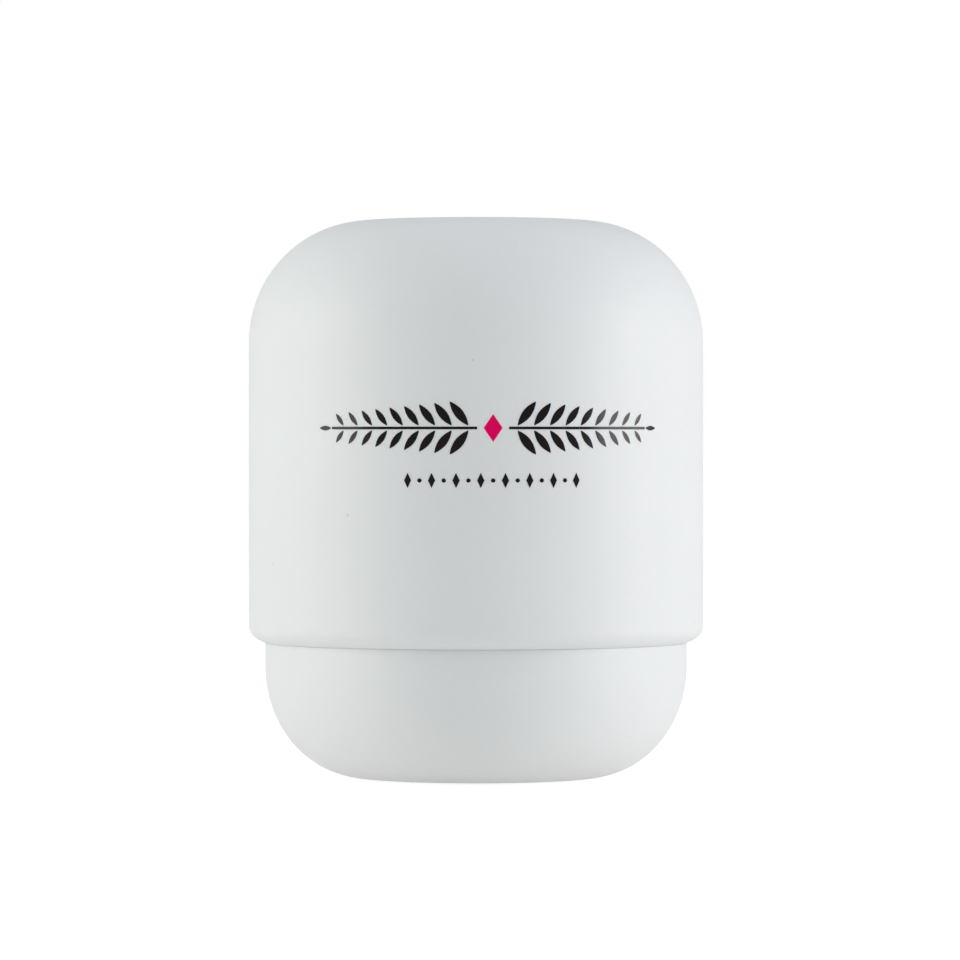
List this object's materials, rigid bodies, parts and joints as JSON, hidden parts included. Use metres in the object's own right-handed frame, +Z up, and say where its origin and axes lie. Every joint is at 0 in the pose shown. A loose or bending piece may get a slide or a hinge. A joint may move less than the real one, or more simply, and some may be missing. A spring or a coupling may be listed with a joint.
{
  "type": "makeup sponge case",
  "caption": "Domed silicone capsule case for a makeup sponge: a tall cap drops over the neck of a shallow base cup with a vented floor.",
  "frame": {"origin": "centre of the foot ring, on the surface that the case stands on", "axes": "+Z up along the axis of the round case, from the base to the cap; the printed side of the cap faces -Y"},
  "size_m": [0.065, 0.065, 0.0797],
  "materials": {
    "cap_silicone": "matte soft-touch white silicone",
    "base_silicone": "matte soft-touch white silicone",
    "print_black": "thin gloss black ink",
    "print_magenta": "thin satin magenta ink"
  },
  "bodies": {
    "base": {"base_cup": "base_silicone"},
    "cap": {"cap": "cap_silicone"}
  },
  "joints": [
    {"name": "cap_lift", "type": "slide", "parent": "base", "child": "cap", "axis": [0, 0, 1], "range_m": [0, 0.075]}
  ]
}
